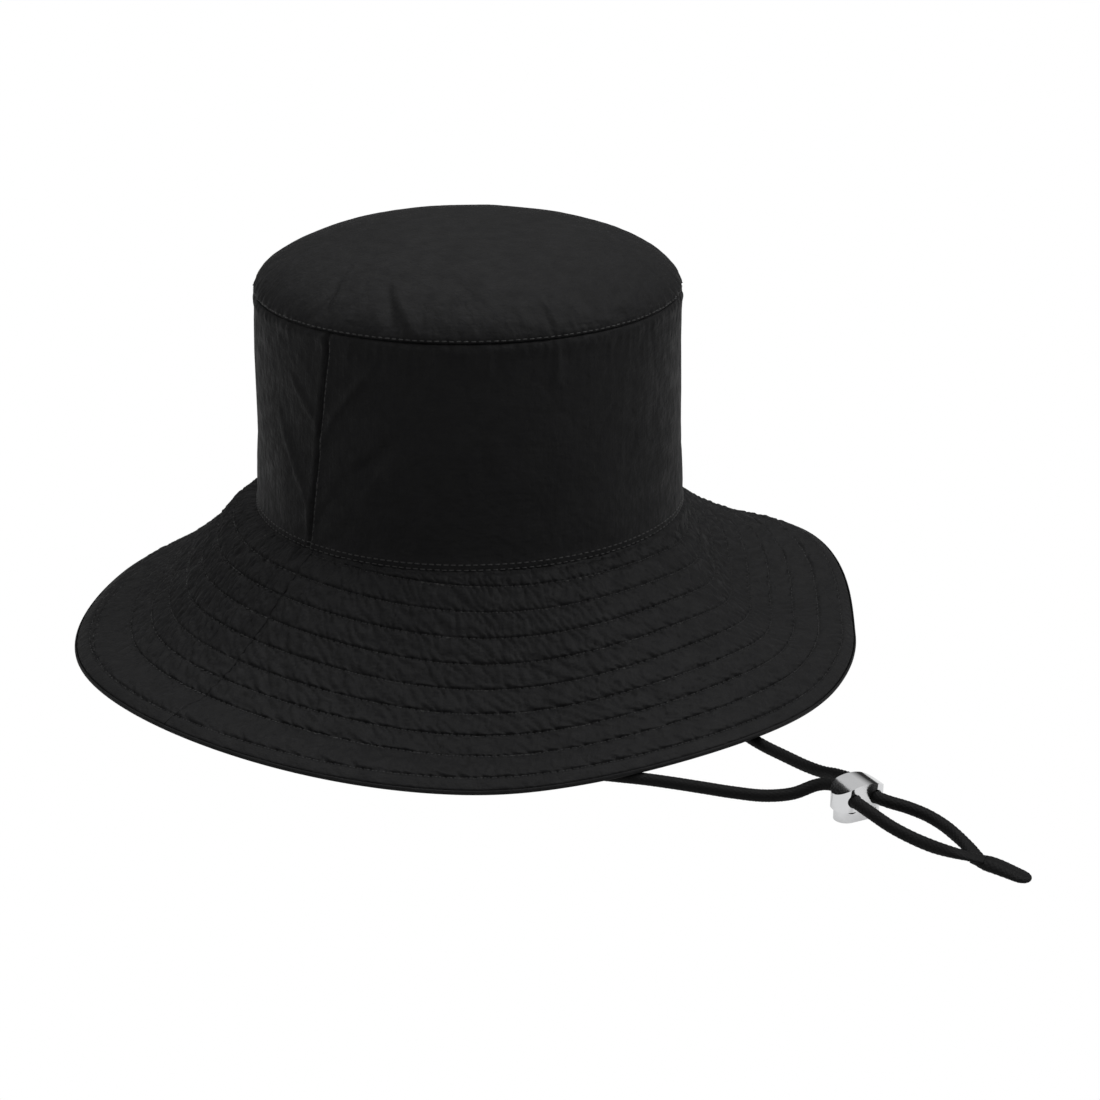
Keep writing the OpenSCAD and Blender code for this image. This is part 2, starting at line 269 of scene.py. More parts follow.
def brim_sway(theta, s):
    """How far the whole brim stands above or below its straight slope."""
    total = 0.0
    for centre, half, place, reach, high in BRIM_SWAYS:
        around = np.minimum(turn_between(theta, centre) / half, 1)
        down = np.minimum(np.abs(s - place) / reach, 1)
        total = total + high * (1 + np.cos(np.pi * around)) * (1 + np.cos(np.pi * down)) / 4
    return total * smooth_step(s, *SWAY_ROOT) * (1 - smooth_step(s, *SWAY_RIM))


def brim_frame(theta, s, n):
    """A point s down the slope of the brim and n up from its underside."""
    n = n + brim_sway(theta, s)
    slope = np.arcsin((CROWN_BASE_Z - rim_z(theta)) / BRIM_LEN)
    r = BRIM_ROOT_R + s * np.cos(slope) + n * np.sin(slope)
    return on_circle(theta, r, CROWN_BASE_Z - s * np.sin(slope) + n * np.cos(slope))


def spiral_s(k, part):
    """How far down the slope the spiral of stitching is after k turns and part of one."""
    turn = k + part
    s = SPIRAL_START_S + SPIRAL_PITCH * k + (SPIRAL_PITCH - SEAM_STEP) * part
    s = s + SEAM_STEP * smooth_step(part, 0, SEAM_STEP_TURN) - OUTER_PULL * np.maximum(turn - OUTER_TURN, 0)
    return s + MERGE_STEP * smooth_step(turn, *MERGE_TURNS)


def brim_rows(theta):
    """Distances down the slope of the seam, each row of stitching and the rim."""
    part = ((theta - 180) % 360) / 360
    rows = [np.minimum(spiral_s(k, part), RING_S - 0.3) for k in range(SPIRAL_ROWS)]
    return [-1.8 + 0 * part] + rows + [RING_S + 0 * part, BRIM_LEN + 0 * part]


def stitch_count(k):
    """Stitches in one turn of row k, so that they are about a pitch long."""
    return np.round(2 * np.pi * (BRIM_ROOT_R + 0.8 * SPIRAL_PITCH * k) / STITCH_PITCH)


def needle_holes(theta, v):
    """1 at the ends of the stitches of the nearest row, falling to 0 along each stitch."""
    turns = ((theta - 180) % 360) / 360
    phase = turns * stitch_count(np.clip(np.round(v), 1, RING_V))
    return ((1 + np.cos(2 * np.pi * phase)) / 2) ** 2


def row_gap(theta, v):
    """The rows above and below row coordinate v, whose whole numbers are rows of stitching."""
    theta, v = np.broadcast_arrays(np.asarray(theta, float), np.asarray(v, float))
    rows = np.stack(brim_rows(theta))
    k = np.clip(np.floor(v).astype(int), 0, len(rows) - 2)
    low = np.take_along_axis(rows, k[None], 0)[0]
    high = np.take_along_axis(rows, k[None] + 1, 0)[0]
    return low, high, v - k


def brim_s(theta, v):
    low, high, w = row_gap(theta, v)
    return low + (high - low) * w


def quilting(theta, v):
    """How far the cloth puffs between two rows, how it dips on a row, and how far the row is."""
    low, high, w = row_gap(theta, v)
    gap = high - low
    puff = np.clip(gap / SPIRAL_PITCH, 0, 1) * (4 * w * (1 - w)) ** 0.6
    away = np.minimum(np.where(v > 0.5, w * gap, 9), np.where(v < RING_V, (1 - w) * gap, 9))
    return puff, np.exp(-((away / 0.5) ** 2)), away


def brim_crinkle(theta, s, away, seed_z=0.0):
    """Small creases: slanting puckers, gathers at the rows, and folds down the slope."""
    around = np.radians(theta) * 140
    lean = around * 0.8 + s * 0.6
    cross = around * 0.6 - s * 0.8
    puckers = ridged(fold_noise(cross / 3.6, lean / 12, seed_z)) - 0.3
    gather = fine_noise(around / 1.9, s / 6, seed_z + 20) * np.exp(-away / 2.5)
    grain = fine_noise(around / 2.6, s / 2.6, seed_z)
    radial = ridged(fold_noise(around / 4.5, s / 30, seed_z + 7)) - 0.3
    left = smooth_step(45 - turn_between(theta, 150), 0, 25) * smooth_step(95 - s, 0, 60)
    return -1.1 * puckers - 1.0 * left * radial + 0.45 * gather + 0.3 * grain


def brim_top(theta, v):
    """The quilted top cloth of the brim, which turns down at the rim."""
    s = brim_s(theta, v)
    puff, dip, away = quilting(theta, v)
    calm = smooth_step(v, RING_V - 0.05, RING_V + 0.1)
    n = BRIM_TOP_N - 0.3 + PUFF * puff * (1 - 0.3 * calm)
    n = n - (ROW_DIP + HOLE_DIP * needle_holes(theta, v)) * dip
    n = n + brim_crinkle(theta, s, away) * (1 - 0.85 * calm) * (1 - 0.6 * dip)
    n = n - 0.4 * seam_dip(theta, BRIM_ROOT_R + s, 0.5)
    n = n - 1.4 * np.exp(-np.maximum(s, 0) / 1.3)
    edge = np.clip((s - (BRIM_LEN - 2.4)) / 1.2, 0, 1)
    n = n - 1.3 * (1 - np.sqrt(1 - edge**2))
    return brim_frame(theta, s, n)


def brim_under(theta, v):
    """The underside cloth down the slope; past the last whole number it rolls up round the rim."""
    last = RING_V + 1
    s = brim_s(theta, np.minimum(v, last)) - RIM_ROLL * smooth_step(v, RING_V + 0.5, last)
    roll = np.maximum(v - last, 0)
    puff, dip, away = quilting(theta, np.minimum(v, last))
    calm = smooth_step(v, RING_V - 0.05, RING_V + 0.1)
    n = 0.3 * (1 - puff) * (1 - calm) + 0.45 * dip * (1 - smooth_step(roll, 0, 0.5))
    n = n - 0.5 * brim_crinkle(theta, s, away, 40.0) * (1 - calm)
    n = np.maximum(n + 0.6 * seam_dip(theta, BRIM_ROOT_R + s), 0)
    n = n + 0.8 * np.exp(-np.maximum(s, 0) / 1.3)
    n = n * (1 - smooth_step(roll, 0, 1)) + RIM_ROLL * (1 - np.cos(roll))
    return brim_frame(theta, s + RIM_ROLL * np.sin(roll), n)


def stiffener(theta, s):
    return brim_frame(theta, s, STIFFENER_N + 0 * s)


def row_steps(shares, rows):
    """Values of the row coordinate, with the same shares of every gap between rows."""
    return np.concatenate([k + np.array(shares) for k in range(rows)])


TOP_SHARES = (0, 0.03, 0.06, 0.1, 0.16, 0.25, 0.37, 0.5, 0.63, 0.75, 0.84, 0.9, 0.94, 0.97)
UNDER_SHARES = (0, 0.05, 0.1, 0.2, 0.35, 0.5, 0.65, 0.8, 0.9, 0.95)
TOP_V = np.concatenate([row_steps(TOP_SHARES, RING_V), RING_V + np.array(
    [0, 0.04, 0.08, 0.14, 0.22, 0.3, 0.4, 0.5, 0.6, 0.66, 0.7, 0.74, 0.77, 0.795, 0.81])])
UNDER_V = np.concatenate([row_steps(UNDER_SHARES, RING_V + 1), RING_V + 1 + np.linspace(0, 3.2, 11)])


def add_sheet(name, mesh, thickness, node, material):
    """One cloth piece that stands for a CAD node, with its thickness."""
    piece = add_object(name, mesh, material, replaces=[node])
    thicken(piece, thickness)


def make_brim(half, word, cloth, stiff_cloth):
    name = "brim_cloth_" + word
    top = sheet_mesh(name, brim_top, half_angles(half, 0.25), TOP_V, flip=True)
    add_sheet(name, top, BRIM_CLOTH_T, "brim_top_" + word, cloth)
    name = "brim_facing_" + word
    under = sheet_mesh(name, brim_under, half_angles(half), UNDER_V)
    add_sheet(name, under, BRIM_CLOTH_T, "brim_under_" + word, cloth)
    name = "brim_stiffener_" + word
    across, down = half + np.arange(1, 179.5, 2), np.linspace(*STIFFENER_S, 24)
    middle = sheet_mesh(name, stiffener, across, down, flip=True)
    add_sheet(name, middle, STIFFENER_T, "brim_interlining_" + word, stiff_cloth)


# ---- crown and lining ----

# Folds in the cloth: direction and height (or radius, on the tip) of both ends,
# then width and depth. A ridge has a positive depth, a valley a negative one.
CROWN_FOLDS = (
    (171, 137, 182, 118, 2.6, 0.8),
    (199, 147, 187, 124, 2.6, 0.9),
    (187, 124, 182, 109, 2.2, 0.6),
    (165, 118, 177, 85, 3.0, 0.8),
    (177, 85, 178, 73, 2.4, 0.5),
    (206, 119, 189, 90, 5.0, -1.3),
    (189, 90, 181, 75, 3.5, -0.9),
    (224, 110, 225, 93, 3.5, 0.3),
    (215, 154, 214, 142, 2.4, 0.8),
    (229, 155, 229, 145, 2.2, 0.8),
    (247, 154, 247, 140, 3.0, 0.8),
)
TIP_FOLDS = (
    (198, 74, 205, 92, 3.4, -1.8),
    (204, 78, 211, 92, 3.0, 1.3),
    (182, 80, 181, 92, 2.2, -1.0),
    (175, 64, 185, 92, 2.8, -0.9),
    (142, 69, 153, 88, 3.0, -1.2),
    (246, 78, 248, 92, 2.6, 1.0),
    (253, 84, 253, 92, 2.0, -0.5),
    (266, 86, 266, 92, 2.0, -0.5),
    (296, 80, 296, 92, 3.5, -1.2),
    (217, 62, 232, 88, 2.4, -0.4),
    (224, 58, 240, 88, 2.4, 0.4),
)
# How far the right-hand side seam leans, in degrees, and over how much cloth.
LEAN_FOOT, LEAN_TOP, LEAN_REACH = -2.5, 6.0, 45
# How many millimetres from the tip's seam one unit of q is worth, close to the seam.
TIP_Q_MM = 48
# How far in the cloth may go: less beside the sweatband than above it.
DEEPEST_LOW, DEEPEST_HIGH = -0.5, -1.8


def fold_depth(theta, z, folds, radius):
    """Sum of listed creases, each a ridge or a valley with a shallow trough or rise beside it."""
    total = np.zeros(np.broadcast(theta, z).shape)
    for a0, z0, a1, z1, width, depth in folds:
        u = np.radians((theta - a0 + 180) % 360 - 180) * radius
        v = z - z0
        du, dv = np.radians(a1 - a0) * radius, z1 - z0
        t = np.clip((u * du + v * dv) / (du**2 + dv**2), 0, 1)
        away = np.hypot(u - t * du, v - t * dv) / width
        fade = np.sin(np.pi * np.clip(t * 0.9 + 0.05, 0, 1)) ** 0.5
        total += depth * fade * (1 - 0.9 * away**2) * np.exp(-(away**2))
    return total


def cloth_wrinkles(theta, z, radius, seed_z=0.0):
    """Slow sways, soft folds, fine creases and thick threads of an upright cloth."""
    around = np.radians(theta) * radius
    x, y = radius * np.cos(np.radians(theta)), radius * np.sin(np.radians(theta))
    sway = sway_noise(x / 34, y / 34, z / 40 + seed_z)
    folds = ridged(fold_noise(x / 15, y / 15, z / 30 + seed_z)) - 0.2
    fine = ridged(fine_noise(x / 5.5, y / 5.5, z / 14 + seed_z)) - 0.25
    slubs = fine_noise(around / 1.4, z / 9.0, seed_z)
    return 0.9 * sway - 0.22 * folds - 0.05 * fine + 0.05 * slubs


def gathers(theta, radius, away, reach):
    """Small puckers that run out of a seam and die away."""
    around = np.radians(theta) * radius
    waves = fine_noise(around / 2.6, away / 9.0, 3.0)
    return 0.5 * waves * np.exp(-away / reach) * smooth_step(away, 0, 1.5)


def lean_over(theta, t):
    """Turn the cloth beside the right-hand seam, which leans: t is 0 at its foot and 1 at its top."""
    beside = (1 + np.cos(np.pi * np.minimum(turn_between(theta, 180) / LEAN_REACH, 1))) / 2
    return theta + beside * (LEAN_FOOT + (LEAN_TOP - LEAN_FOOT) * t)


def crown_side(theta, z):
    """The outer cloth of the crown's side, drawn in at both of its sewn edges."""
    t = (z - CROWN_BASE_Z) / (TIP_SEAM_Z - CROWN_BASE_Z)
    seam = seam_dip(theta, 92)
    theta = lean_over(theta, t)
    r = CROWN_BASE_R + (CROWN_TOP_R - CROWN_BASE_R) * t
    down = TIP_SEAM_Z - z
    up = z - (CROWN_BASE_Z - 1)
    loose = smooth_step(down, 0, 9) * smooth_step(up, 2, 12)
    out = cloth_wrinkles(theta, z, r) * (0.15 + 0.85 * loose) + fold_depth(theta, z, CROWN_FOLDS, 92)
    r = r + np.maximum(out, DEEPEST_LOW + (DEEPEST_HIGH - DEEPEST_LOW) * smooth_step(z, 98, 110))
    r = r + 1.6 * gathers(theta, 92, down, 9.0) + 0.7 * gathers(theta, 92, up, 4.0)
    r = r + 0.5 * np.exp(-(((down - 3.0) / 2.2) ** 2)) + 0.5 * np.exp(-(((up - 4) / 2.5) ** 2))
    r = r - 0.8 * np.exp(-down / 0.6) - 1.2 * np.exp(-up / 0.9)
    return on_circle(theta, r - 0.9 * seam, z)


def crown_tip(theta, q):
    """The dome: q is 0 on its seam and 1 at its top."""
    a = np.pi / 2 * q
    x = CROWN_TOP_R * np.cos(a) * np.cos(np.radians(theta))
    y = CROWN_TOP_R * np.cos(a) * np.sin(np.radians(theta))
    away = q * TIP_Q_MM
    sway = sway_noise(x / 30, y / 30, 20.0)
    folds = ridged(fold_noise(x / 13, y / 13, 9.0)) - 0.2
    fine = ridged(fine_noise(x / 5, y / 5, 4.0)) - 0.25
    loose = smooth_step(away, 0.5, 9)
    placed = fold_depth(theta, CROWN_TOP_R * np.cos(a), TIP_FOLDS, 85)
    out = loose * (0.9 * sway - 0.1 * folds - 0.04 * fine + placed)
    out = np.maximum(out, DEEPEST_HIGH) + 1.8 * gathers(theta, 91, away, 9.0)
    out = out + 0.2 * np.exp(-(((away - 2.4) / 1.6) ** 2)) - 0.9 * np.exp(-away / 0.7)
    r = (CROWN_TOP_R + out) * np.cos(a)
    return on_circle(theta, r, TIP_SEAM_Z + 0.2 + (TIP_RISE + out) * np.sin(a))


def lining_side(theta, z):
    t = (z - CROWN_BASE_Z + 1) / (LINING_TIP_Z - CROWN_BASE_Z + 1)
    r = LINING_BASE_R - LINING_T + (LINING_TOP_R - LINING_BASE_R) * t
    loose = smooth_step(LINING_TIP_Z - z, 0, 9) * smooth_step(z, 92, 104)
    r = r - loose * (1.6 + 0.5 * cloth_wrinkles(theta, z, r, 60.0))
    r = r + 0.4 * seam_dip(theta, 90)
    return on_circle(theta, r, z)


def lining_tip(theta, q):
    a = np.pi / 2 * q
    slack = smooth_step(q * TIP_Q_MM, 0, 8)
    r = (LINING_TOP_R - LINING_T - 1.6 * slack) * np.cos(a)
    x, y = r * np.cos(np.radians(theta)), r * np.sin(np.radians(theta))
    sag = slack * (1.6 + 0.5 * sway_noise(x / 25, y / 25, 70.0))
    return on_circle(theta, r, LINING_TIP_Z + 0.1 + (LINING_RISE - LINING_T - sag) * np.sin(a))


CROWN_UP = np.concatenate([[61, 61.3, 61.7, 62.2, 62.8, 63.5], np.arange(64.3, 156, 1.0),
                           [156.3, 156.9, 157.4, 157.8, 158.1, 158.35, 158.5]])
TIP_UP = np.concatenate([[0, 0.006, 0.014, 0.024, 0.036, 0.05, 0.07],
                         np.arange(0.09, 0.985, 0.0135), [0.99]])


def dome_mesh(name, surface, around, up, flip=False):
    """A closed dome of surface(theta, q), with a point at its top."""
    top = surface(np.array(0.0), np.array(1.0))
    return sheet_mesh(name, surface, around, up, wrap=True, flip=flip, pole=top)


def make_crown(cloth, lining_cloth):
    name = "crown_tip_cloth"
    tip = dome_mesh(name, crown_tip, np.arange(0, 360, 0.5), TIP_UP)
    add_sheet(name, tip, CROWN_CLOTH_T, "crown_tip", cloth)
    for half, word in HALVES:
        name = "crown_cloth_" + word
        side = sheet_mesh(name, crown_side, half_angles(half), CROWN_UP)
        add_sheet(name, side, CROWN_CLOTH_T, "crown_side_" + word, cloth)
        name = "lining_cloth_" + word
        up = np.linspace(CROWN_BASE_Z - 1, LINING_TIP_Z, 70)
        inner = sheet_mesh(name, lining_side, half_angles(half, 1.0), up, flip=True)
        add_sheet(name, inner, LINING_CLOTH_T, "lining_side_" + word, lining_cloth)
    name = "lining_tip_cloth"
    top = dome_mesh(name, lining_tip, np.arange(0, 360, 1.0), np.linspace(0, 0.985, 60), flip=True)
    add_sheet(name, top, LINING_CLOTH_T, "lining_tip", lining_cloth)


# ---- stitching ----

def along(points, spacing):
    """Places evenly spaced along a line of points, as fractions of its indices."""
    steps = np.linalg.norm(np.diff(points, axis=0), axis=1)
    length = np.concatenate([[0], np.cumsum(steps)])
    places = np.arange(0, length[-1], spacing)
    return np.interp(places, length, np.arange(len(points)))


# Rings of one thread: share of its length, share of its radius, height above the
# cloth, and 1 where the thread's lift is added to that height.
THREAD_RINGS = (
    (0.02, 0.3, -0.22, 0), (0.16, 1.0, 0.02, 0), (0.5, 1.0, 0.0, 1),
    (0.84, 1.0, 0.02, 0), (0.98, 0.3, -0.22, 0),
)


def path_frame(surface, path, side):
    """Points of surface(path(t)), with the way ahead and the way out of the cloth at each."""
    theta, v = path(np.linspace(0, 1, PATH_STEPS))
    line = surface(theta, v)
    tangent = np.gradient(line, axis=0)
    normal = np.cross(tangent, surface(theta, v + 0.02) - line) * side
    normal /= np.linalg.norm(normal, axis=1)[:, None] + 1e-12
    return line, tangent, normal


def read_at(places, rows):
    """Rows of a list of points, read between its indices."""
    index = np.arange(len(rows))
    return np.stack([np.interp(places, index, rows[:, k]) for k in range(3)], -1)


def thread_faces(threads):
    """Faces of many short closed tubes, listed one after another."""
    one = tube_faces(len(THREAD_RINGS), THREAD_SIDES)
    size = len(THREAD_RINGS) * THREAD_SIDES
    return [[i + block for i in face] for block in range(0, threads * size, size) for face in one]


def stitch_points(surface, path, side, count=None, pitch=STITCH_PITCH, radius=THREAD_R, lift=THREAD_LIFT):
    """Points of short threads along surface(path(t)), t from 0 to 1, and their faces.

    The threads are a pitch apart, or there are count of them, evenly spaced in t.
    """
    line, tangent, normal = path_frame(surface, path, side)
    if count:
        starts = np.arange(int(count)) / count * (PATH_STEPS - 1)
    else:
        starts = along(line, pitch)[:-1]
    unit = np.diff(starts).mean()
    rings = []
    for share, wide, high, lifted in THREAD_RINGS:
        at = starts + unit * STITCH_COVER * share + unit * (1 - STITCH_COVER) / 2
        up = read_at(at, normal)
        ahead = read_at(at, tangent)
        ahead /= np.linalg.norm(ahead, axis=1)[:, None]
        out = np.cross(ahead, up)
        centre = read_at(at, line) + (high + lifted * lift) * up
        for k in range(THREAD_SIDES):
            a = 2 * np.pi * k / THREAD_SIDES
            rings.append(centre + radius * wide * (np.cos(a) * out + np.sin(a) * up))
    return np.stack(rings, 1).reshape(-1, 3), thread_faces(len(starts))


def add_stitches(name, rows, material, slot="crinkle_nylon", **how):
    """One piece from several rows: each is (surface, path, side), and a count if it has one."""
    points, faces = [], []
    for row in rows:
        row_points, row_faces = stitch_points(*row, **how)
        first = sum(len(p) for p in points)
        faces += [[i + first for i in face] for face in row_faces]
        points.append(row_points)
    add_object(name, mesh_of(name, np.vstack(points), faces), material)


def spiral_row(k):
    """One turn of the spiral, from the right-hand seam round to it again, and its stitches."""
    last = min(1, SPIRAL_TURNS - k)
    return (lambda t: (180.02 + 359.96 * last * t, k + 1 + 0 * t)), last * stitch_count(k + 1)


def level_path(v, start=0, end=360):
    return lambda t: (start + (end - start) * t, v + 0 * t)


def upright_path(theta, low, high):
    return lambda t: (theta + 0 * t, low + (high - low) * t)


def make_stitching(thread):
    rows = [spiral_row(k) for k in range(SPIRAL_ROWS)]
    rows.append((level_path(RING_V, 180.02, 539.98), stitch_count(RING_V)))
    top = [(brim_top, row, 1, count) for row, count in rows]
    under = [(brim_under, row, -1, count) for row, count in rows]
    add_stitches("brim_top_stitching", top, thread, lift=TOP_THREAD_LIFT)
    add_stitches("brim_under_stitching", under, thread, lift=UNDER_THREAD_LIFT)
    base = [(crown_side, level_path(CROWN_BASE_Z + up), 1) for up in BASE_ROWS]
    seams = [(crown_side, upright_path(seam + SIDE_ROW_TURN, *SIDE_ROW_Z), 1) for seam in (0, 180)]
    add_stitches("crown_side_stitching", base + seams, thread)
    add_stitches("crown_tip_stitching", [(crown_tip, level_path(TIP_ROW_Q), 1)], thread)


# ---- cords ----

def in_lock(side, t):
    """A point of a cord's route, t along the lock from its middle."""
    x, y = LOCK_POS + side * HOLE_PITCH / 2 * LOCK_ACROSS + t * LOCK_ALONG
    return [(x, y, HOLE_Z, CORD_R)]


# Routes of the two cords: x, y, z of the centre, then the half height.
RIGHT_ROUTE = [
    (-87, 0, TAB_Z, 2.5), (-87, -1, 32, 2.5), (-87, -4, 21.5, 2.5), (-87, -10, 12, 2.5),
    (-87.5, -19, 6, 2.5), (-88.5, -31, 3, 2.5), (-90, -44, 2.5, 2.5), (-92, -58, 2.5, 2.5),
    (-94, -72, 2.5, 2.5), (-95, -86, 2.5, 2.5), (-94.5, -100, 2.5, 2.5), (-92, -113, 2.5, 2.5),
    (-87.5, -126, 2.5, 2.5), (-82, -138, 2.5, 2.5), (-76, -149, 2.5, 2.5), (-70, -160, 2.5, 2.5),
    (-65, -171, 2.5, 2.5), (-60.5, -182, 2.5, 2.5), (-56, -193, 2.5, 2.5), (-50.5, -204, 2.7, 2.5),
    (-44.5, -213, 4.4, 2.5), (-38.2, -219.6, 7.9, 2.5),
] + in_lock(-1, -10.4) + in_lock(-1, -4) + in_lock(-1, 1.5) + in_lock(-1, 7) + [
    (-44.6, -250, 8.4, 2.5), (-44, -258.5, 5.6, 2.5), (-42.6, -267, 3.4, 2.5), (-42.6, -276.5, 3, 2.5),
    (-43.2, -285.5, 3.9, 2), (-42.2, -292.5, 4.2, 1.3), (-40.6, -298, 4.1, 1.3),
]
LEFT_ROUTE = [
    (87, 0, TAB_Z, 2.5), (87, -1, 32, 2.5), (87, -4, 21.5, 2.5), (86, -10, 12, 2.5),
    (84, -18.5, 6, 2.5), (80.5, -29, 3, 2.5), (76, -41, 2.5, 2.5), (71, -53, 2.5, 2.5),
    (65, -66, 2.5, 2.5), (58, -78.5, 2.5, 2.5), (50, -90.5, 2.5, 2.5), (41, -101.5, 2.5, 2.5),
    (31, -112, 2.5, 2.5), (20.5, -122, 2.5, 2.5), (10.5, -132, 2.5, 2.5), (1.5, -142, 2.5, 2.5),
    (-5.5, -152.5, 2.5, 2.5), (-11, -164, 2.5, 2.5), (-14.5, -176, 2.5, 2.5), (-16.5, -188, 2.5, 2.5),
    (-18.5, -200, 2.7, 2.5), (-21, -210, 4.2, 2.5), (-24, -219, 7, 2.5),
] + in_lock(1, -10.4) + in_lock(1, -4) + in_lock(1, 1.5) + in_lock(1, 6.5) + [
    (-33.6, -250.2, 9.2, 2.5), (-30.4, -256.5, 7.8, 2.5), (-27.2, -263, 5.6, 2.5), (-26.4, -270, 3.6, 2.5),
    (-28.6, -277.5, 2.5, 2.5), (-32.2, -285, 1.9, 1.8), (-36.4, -292, 1.4, 1.3), (-39.2, -298, 1.35, 1.3),
]
BRAID_SIDES, BRAID_STEP = 48, 0.45
BRAID_STRANDS, BRAID_TURN, BRAID_RELIEF, END_RELIEF = 12, 2.4, 0.28, 0.22


def spline(route, step):
    """Points every step along a smooth line through the route's points."""
    route = np.array(route, float)
    before = np.vstack([2 * route[0] - route[1], route[:-1]])
    after = np.vstack([route[1:], 2 * route[-1] - route[-2]])
    slope = (after - before) / 2
    t = np.linspace(0, 1, 40, endpoint=False)[:, None]
    pieces = []
    for a, b, da, db in zip(route[:-1], route[1:], slope[:-1], slope[1:]):
        pieces.append((2 * t**3 - 3 * t**2 + 1) * a + (t**3 - 2 * t**2 + t) * da
                      + (3 * t**2 - 2 * t**3) * b + (t**3 - t**2) * db)
    dense = np.vstack(pieces + [route[-1:]])
    places = along(dense[:, :3], step)
    index = np.arange(len(dense))
    return np.stack([np.interp(places, index, dense[:, k]) for k in range(4)], -1)


def half_width(half_height):
    """A cord gets wider where it is pressed flat."""
    return CORD_R + (FLAT_W - CORD_R) * (CORD_R - half_height) / (CORD_R - FLAT_H)


def braid_height(turn, length):
    """Height of a braid's strands: two families that pass over and under."""
    a = BRAID_STRANDS * turn + length / BRAID_TURN
    b = BRAID_STRANDS * turn - length / BRAID_TURN
    over = (np.floor(a) + np.floor(b)) % 2
    fa, fb = np.sin(np.pi * (a - np.floor(a))), np.sin(np.pi * (b - np.floor(b)))
    first = np.sqrt(fa) * (0.35 + 0.65 * fb)
    second = np.sqrt(fb) * (0.35 + 0.65 * fa)
    return np.where(over > 0.5, first, second)


def ring_frames(centres):
    """Sideways and up at each point of a line of centres."""
    ahead = np.gradient(centres, axis=0)
    ahead /= np.linalg.norm(ahead, axis=1)[:, None]
    side = np.cross(ahead, [0.02, 0.02, 1.0])
    side /= np.linalg.norm(side, axis=1)[:, None]
    return side, np.cross(side, ahead)


def cord_mesh(name, line):
    centres = line[:, :3]
    side, up = ring_frames(centres)
    turn = np.linspace(0, 1, BRAID_SIDES, endpoint=False)
    length = np.arange(len(line)) * BRAID_STEP
    relief = BRAID_RELIEF * (braid_height(turn[None, :], length[:, None]) - 1)
    high = line[:, 3][:, None] + relief
    wide = half_width(line[:, 3])[:, None] + relief
    angle = 2 * np.pi * turn[None, :]
    points = (centres[:, None] + (wide * np.cos(angle))[..., None] * side[:, None]
              + (high * np.sin(angle))[..., None] * up[:, None]).reshape(-1, 3)
    return mesh_of(name, points, tube_faces(len(line), BRAID_SIDES))


def make_cord(name, route, node, material):
    line = spline(route, BRAID_STEP)
    cord = add_object(name, cord_mesh(name, line), material, replaces=[node])


def cord_end_mesh(name):
    """The two cord ends as one woven tongue: oval, grooved along the middle, with a round tip."""
    steps, sides = 110, 64
    t = np.linspace(0, 1, steps)
    run = END_START + END_LENGTH * t
    into = smooth_step(t, 0, 0.3)
    near_tip = np.clip((t - 0.8) / 0.2, 0, 1)
    close = np.sqrt(np.maximum(1 - near_tip**2.2, 0.0004))
    wide = (2.4 + 1.6 * into) * close
    high = (1.9 + 0.7 * into - 0.9 * smooth_step(t, 0.35, 1)) * close**0.7
    direction = np.radians(END_HEADING)
    ahead = np.array([np.cos(direction), np.sin(direction)])
    out = np.array([-ahead[1], ahead[0]])
    turn = np.linspace(0, 1, sides, endpoint=False)
    c, s = np.cos(2 * np.pi * turn), np.sin(2 * np.pi * turn)
    relief = END_RELIEF * (braid_height(turn[None, :], run[:, None]) - 1)
    groove = 0.45 * np.exp(-((c / 0.22) ** 2)) * (close**2)[:, None]
    lateral = (wide[:, None] + relief) * c
    plan = END_POS + run[:, None, None] * ahead + lateral[..., None] * out
    centre = END_MID_Z - 0.9 * smooth_step(t, 0.35, 1)
    z = centre[:, None] + (high[:, None] + relief - groove) * s
    points = np.concatenate([plan, np.maximum(z, 0.05)[..., None]], -1).reshape(-1, 3)
    return mesh_of(name, points, tube_faces(steps, sides))


# ---- tabs, sweatband and label ----

# A tab holds the cord in a bore, and is flat where it is sewn in with these rows.
TAB_BORE, TAB_WALL, TAB_FLAT = 3.05, 0.95, 1.0
TAB_ROWS, TAB_ROW_HALF = (13.0, 14.0, 15.5), 4.2


def tab_mesh(name, side):
    """A folded strap: flat where it is sewn in, and round the cord below."""
    rows, sides = 30, 48
    t = np.linspace(0, 1, rows)
    turn = 2 * np.pi * np.arange(sides) / sides
    c, s = np.cos(turn), np.sin(turn)
    y = (TAB_W / 2 - 0.1) * np.sign(c) * np.abs(c) ** 0.75
    round_cord = np.sqrt(np.maximum(TAB_BORE**2 - np.minimum(np.abs(y), TAB_BORE) ** 2, 0.0)) + TAB_WALL
    hold = 1 - smooth_step(t, 0.25, 0.75)
    thick = TAB_FLAT + hold[:, None] * (np.minimum(round_cord, TAB_T / 2) - TAB_FLAT)
    x = side * TAB_X + thick * np.sign(s) * np.abs(s) ** 0.5
    z = (TAB_Z + TAB_H * t)[:, None] + 0 * x
    points = np.stack([x, y[None, :] + 0 * x, z], -1).reshape(-1, 3)
    return mesh_of(name, points, tube_faces(rows, sides, flip=False))


def tab_face(side, face):
    """One face of a tab's flat part, as a surface of y and z."""
    x = side * TAB_X + face * (TAB_FLAT + 0.02)
    return lambda y, z: np.stack([x + 0 * y, y, z + 0 * y], -1)


def make_tab(word, side, cloth, thread):
    name = "cord_tab_strap_" + word
    strap = tab_mesh(name, side)
    add_object(name, strap, cloth, replaces=["cord_tab_" + word])
    rows = [(tab_face(side, face), level_path(TAB_Z + up, -TAB_ROW_HALF, TAB_ROW_HALF), face)
            for face in (-1, 1) for up in TAB_ROWS]
    add_stitches("cord_tab_stitching_" + word, rows, thread, pitch=2.1, radius=0.17)


